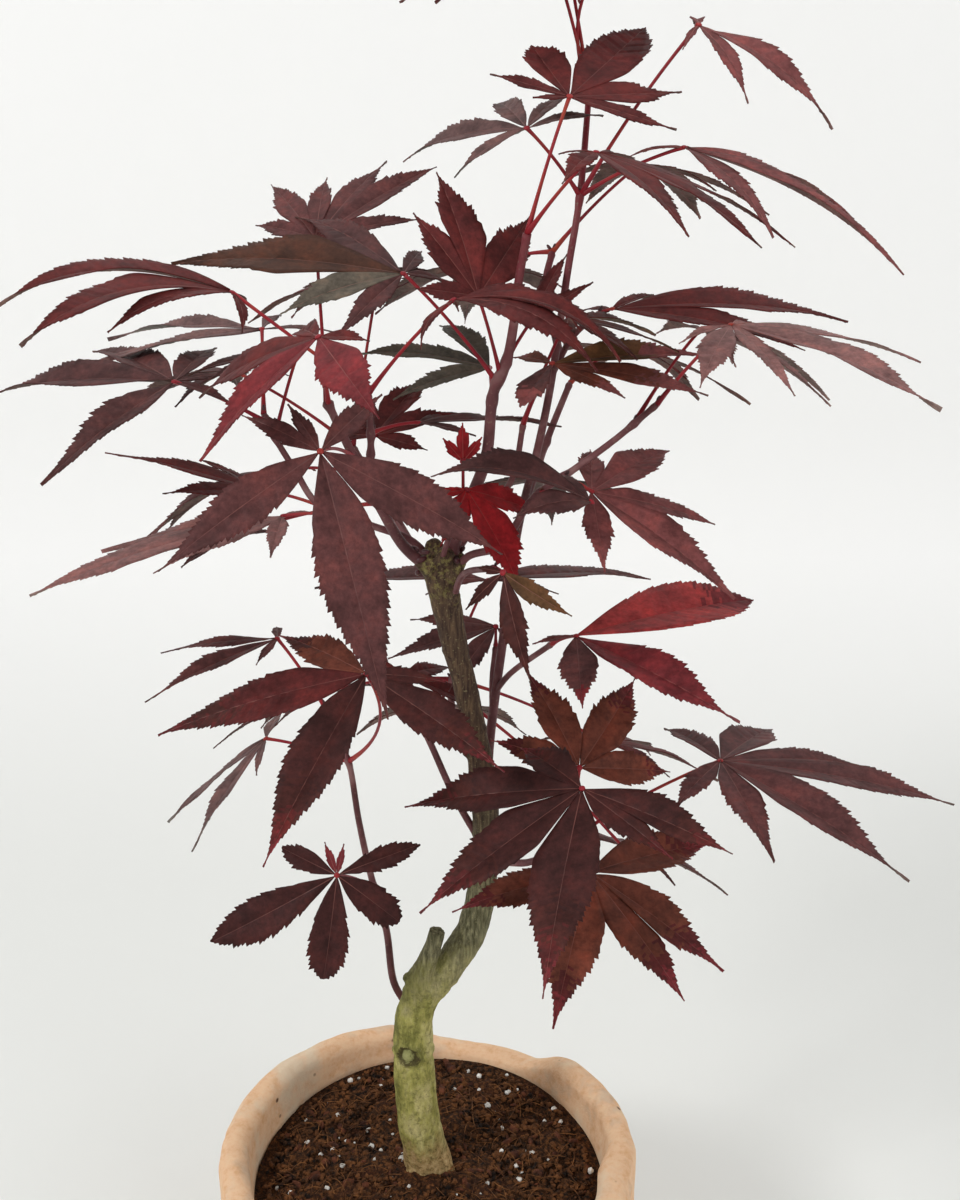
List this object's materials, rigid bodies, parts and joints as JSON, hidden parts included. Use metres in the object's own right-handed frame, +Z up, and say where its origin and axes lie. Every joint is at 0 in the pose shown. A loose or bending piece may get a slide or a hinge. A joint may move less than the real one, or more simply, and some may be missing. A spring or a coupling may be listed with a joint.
{
  "type": "potted japanese maple",
  "caption": "Young maple with deeply lobed plum-red leaves on slender shoots, its pruned, leaning trunk standing in dark soil in a hand-made peach clay pot.",
  "frame": {"origin": "centre of the pot's flat underside", "axes": "+Z up along the plant, +X to the viewer's right in the picture, +Y away from the viewer"},
  "size_m": [0.2696, 0.1885, 0.4523],
  "materials": {
    "clay": "matte, unglazed",
    "soil": "rough, loose fibrous compost",
    "bark": "rough bark",
    "shoot_bark": "smooth young bark",
    "foliage": "matte leaf"
  },
  "bodies": {
    "root": {"pot": "clay", "soil": "soil", "trunk": "bark", "leader_stem": "shoot_bark", "crown_stem": "shoot_bark", "right_stem": "shoot_bark", "middle_stem": "shoot_bark", "left_stem": "shoot_bark", "far_left_stem": "shoot_bark", "low_left_stem": "shoot_bark", "low_inner_stem": "shoot_bark", "low_right_stem": "shoot_bark", "back_low_stem": "shoot_bark", "back_left_stem": "shoot_bark", "leader_foliage": "foliage", "crown_foliage": "foliage", "right_foliage": "foliage", "middle_foliage": "foliage", "left_foliage": "foliage", "left_upper_foliage": "foliage", "far_left_foliage": "foliage", "low_left_foliage": "foliage", "low_inner_foliage": "foliage", "low_right_foliage": "foliage", "leader_front_foliage": "foliage", "leader_back_foliage": "foliage", "leader_side_foliage": "foliage", "collar_front_foliage": "foliage", "collar_young_foliage": "foliage", "back_low_foliage": "foliage", "back_left_foliage": "foliage", "back_right_foliage": "foliage", "back_high_foliage": "foliage"}
  },
  "joints": []
}
